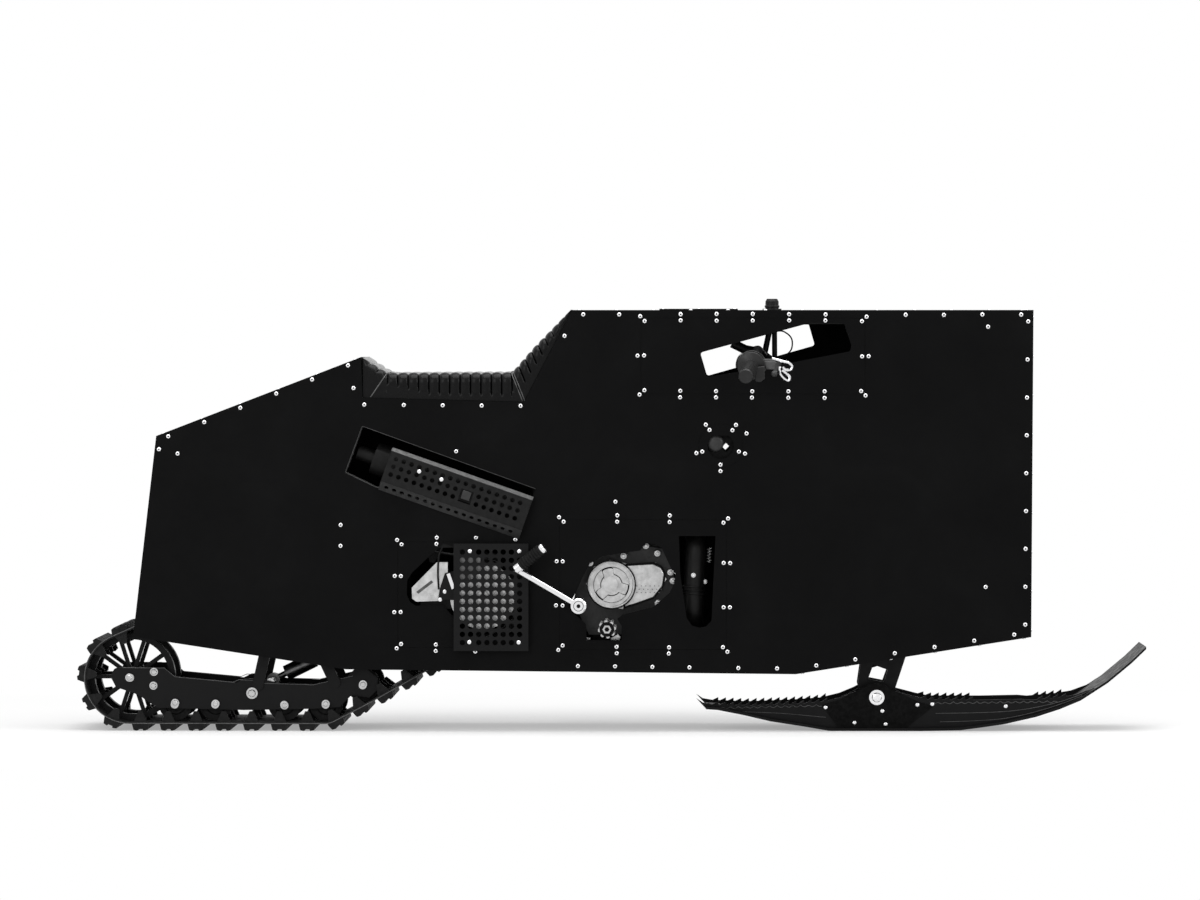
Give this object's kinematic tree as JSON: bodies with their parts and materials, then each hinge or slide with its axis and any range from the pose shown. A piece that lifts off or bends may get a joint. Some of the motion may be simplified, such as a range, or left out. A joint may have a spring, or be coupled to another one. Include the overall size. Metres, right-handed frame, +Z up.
{
  "type": "snowmobile",
  "caption": "Narrow flat-sided snowmobile with a rolled seat, one steered front ski and one rear rubber track.",
  "frame": {"origin": "centre of the bounding box at ground level", "axes": "+X forward, +Z up, -Y the vehicle's right side; ground at z = 0"},
  "size_m": [2.4726, 0.7678, 1.0003],
  "materials": {
    "panel": "satin black, faintly mottled",
    "frame": "satin black",
    "leather": "glossy black",
    "rubber": "matt black",
    "cast": "cast, satin",
    "steel": "machined",
    "chrome": "polished",
    "exhaust": "high-temperature matt black",
    "plastic": "black"
  },
  "bodies": {
    "chassis": {"axle_shafts": "steel", "backing_strips": "frame", "belly_front": "panel", "belly_mid": "panel", "bogie_wheels": "rubber", "brake_caliper": "panel", "brake_disc": "steel", "brake_guard": "panel", "brake_panel_left": "panel", "brake_panel_right": "panel", "drive_case": "cast", "drive_shaft": "steel", "drive_sprockets": "steel", "engine_block": "cast", "engine_cover_left": "cast", "engine_cover_right": "cast", "engine_panel_left": "panel", "engine_panel_right": "panel", "exhaust_header": "exhaust", "footpegs": "steel", "front_panel": "panel", "idler_wheels": "rubber", "kick_starter": "chrome", "main_frame": "frame", "muffler": "exhaust", "muffler_shield": "panel", "porthole_disc_left": "panel", "porthole_disc_right": "panel", "rail_left": "frame", "rail_right": "frame", "rear_deck": "panel", "rear_wheels": "rubber", "return_rollers": "rubber", "seat": "leather", "seat_pan": "panel", "shift_lever": "chrome", "side_frame_left": "frame", "side_frame_right": "frame", "side_panel_left": "panel", "side_panel_right": "panel", "suspension_arms": "frame", "tail_panel": "panel", "top_knob": "plastic", "top_panel": "panel", "top_plate": "panel", "track": "rubber", "track_shock": "steel", "window_panel_left": "panel", "window_panel_right": "panel"},
    "steering": {"grips": "rubber", "handlebar": "frame", "levers": "chrome", "ski_spindle": "frame", "steering_stem": "frame"},
    "ski_body": {"ski": "panel", "ski_bracket": "panel"}
  },
  "joints": [
    {"name": "steering_turn", "type": "hinge", "parent": "chassis", "child": "steering", "pos_m": [0.63429, 0, 0.17], "axis": [-0.342, 0, 0.9397], "range_deg": [-22, 22]},
    {"name": "ski_pitch", "type": "hinge", "parent": "steering", "child": "ski_body", "pos_m": [0.61529, 0, 0.0765], "axis": [0, -1, 0], "range_deg": [-5, 12]}
  ]
}
